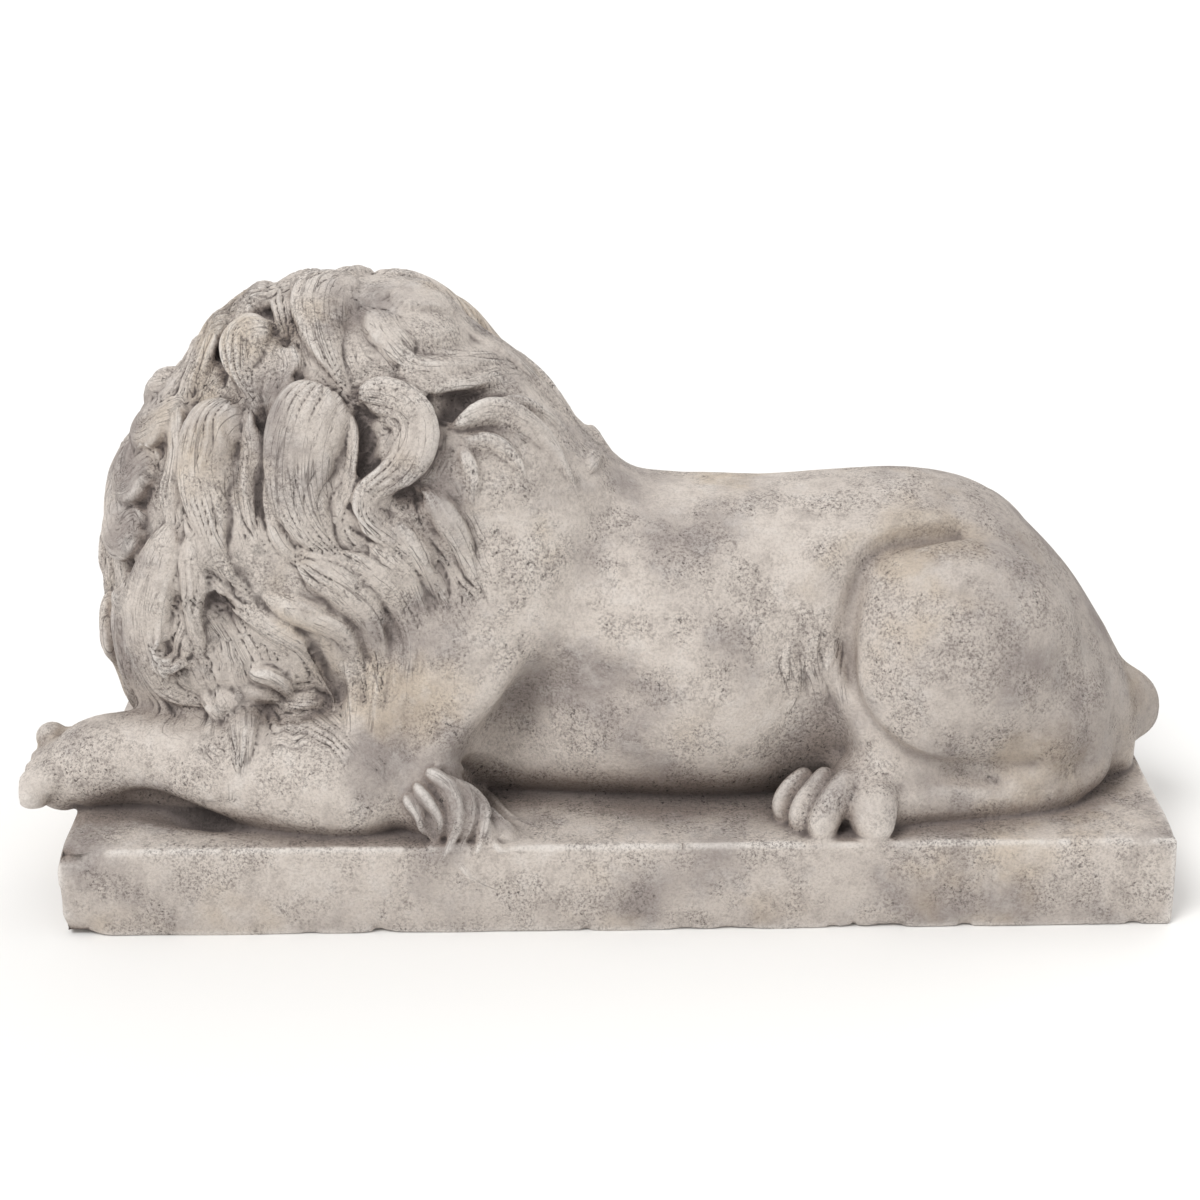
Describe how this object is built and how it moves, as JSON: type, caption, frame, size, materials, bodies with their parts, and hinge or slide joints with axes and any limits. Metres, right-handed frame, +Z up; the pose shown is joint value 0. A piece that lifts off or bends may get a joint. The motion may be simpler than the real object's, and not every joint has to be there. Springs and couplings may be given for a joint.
{
  "type": "lion garden statue",
  "caption": "Recumbent lion with a full mane, head turned to its side and forelegs stretched out, cast in stone in one piece with a rectangular plinth.",
  "frame": {"origin": "middle of the plinth's underside, on the ground", "axes": "+Z up, +X along the plinth from the lion's paws to its rump, +Y out of the side that the lion's face is turned to"},
  "size_m": [0.9641, 0.3895, 0.5092],
  "materials": {
    "cast_stone": "matte, weathered, fine-grained"
  },
  "bodies": {
    "root": {"lion_on_plinth": "cast_stone"}
  },
  "joints": []
}
